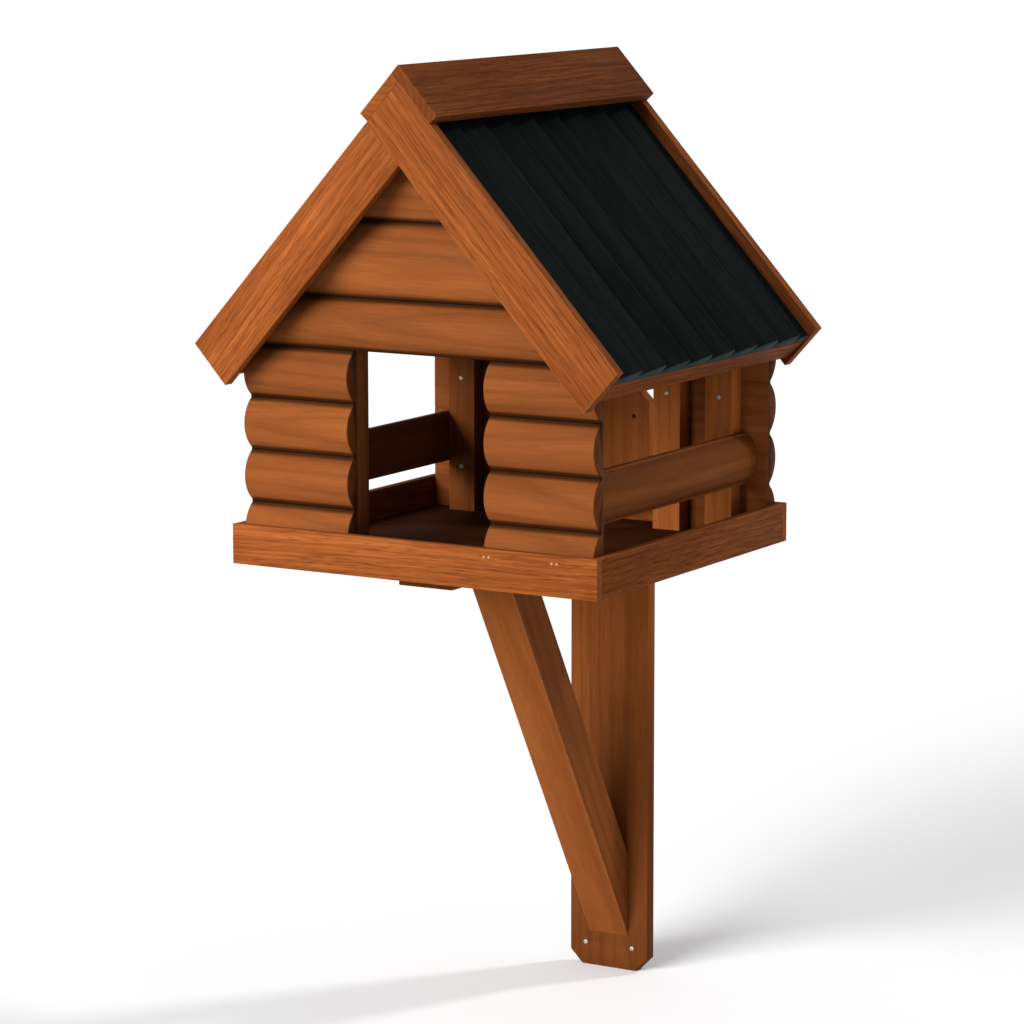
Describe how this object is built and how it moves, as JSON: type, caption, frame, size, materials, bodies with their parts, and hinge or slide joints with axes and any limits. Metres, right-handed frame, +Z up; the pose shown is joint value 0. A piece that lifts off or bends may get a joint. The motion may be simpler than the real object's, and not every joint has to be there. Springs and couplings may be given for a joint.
{
  "type": "bird table",
  "caption": "Wall-mounted log-cabin bird table: gabled cabin with open sides on a rimmed tray, held by a backboard and a slanting brace.",
  "frame": {"origin": "on the back face of the backboard, midway between the upper wall holes and the foot screws", "axes": "+X to the right along the front gable, +Y back into the wall, +Z up"},
  "size_m": [0.462, 0.413, 0.9491],
  "materials": {
    "timber_stain": "red-brown stained softwood, satin",
    "roof_stain": "black stained feather-edge board, satin",
    "zinc": "bright zinc plated"
  },
  "bodies": {
    "root": {"arm": "timber_stain", "back_barge_left": "timber_stain", "back_barge_right": "timber_stain", "back_corner_post_left": "timber_stain", "back_corner_post_right": "timber_stain", "back_gable_log": "timber_stain", "back_jamb_post_left": "timber_stain", "back_jamb_post_right": "timber_stain", "back_lintel_log": "timber_stain", "back_log_left_1": "timber_stain", "back_log_left_2": "timber_stain", "back_log_left_3": "timber_stain", "back_log_left_4": "timber_stain", "back_log_right_1": "timber_stain", "back_log_right_2": "timber_stain", "back_log_right_3": "timber_stain", "back_log_right_4": "timber_stain", "back_peak_log": "timber_stain", "back_post_screws": "zinc", "backboard": "timber_stain", "brace": "timber_stain", "eave_batten_left": "timber_stain", "eave_batten_right": "timber_stain", "foot_screws": "zinc", "front_barge_left": "timber_stain", "front_barge_right": "timber_stain", "front_corner_post_left": "timber_stain", "front_corner_post_right": "timber_stain", "front_gable_log": "timber_stain", "front_jamb_post_left": "timber_stain", "front_jamb_post_right": "timber_stain", "front_lintel_log": "timber_stain", "front_log_left_1": "timber_stain", "front_log_left_2": "timber_stain", "front_log_left_3": "timber_stain", "front_log_left_4": "timber_stain", "front_log_right_1": "timber_stain", "front_log_right_2": "timber_stain", "front_log_right_3": "timber_stain", "front_log_right_4": "timber_stain", "front_peak_log": "timber_stain", "front_post_screws": "zinc", "ridge_beam": "timber_stain", "ridge_cap_left": "timber_stain", "ridge_cap_right": "timber_stain", "rim_back": "timber_stain", "rim_front": "timber_stain", "rim_left": "timber_stain", "rim_nails": "zinc", "rim_right": "timber_stain", "roof_boards_left": "roof_stain", "roof_boards_right": "roof_stain", "side_rail_left": "timber_stain", "side_rail_right": "timber_stain", "tray_floor": "timber_stain"}
  },
  "joints": []
}
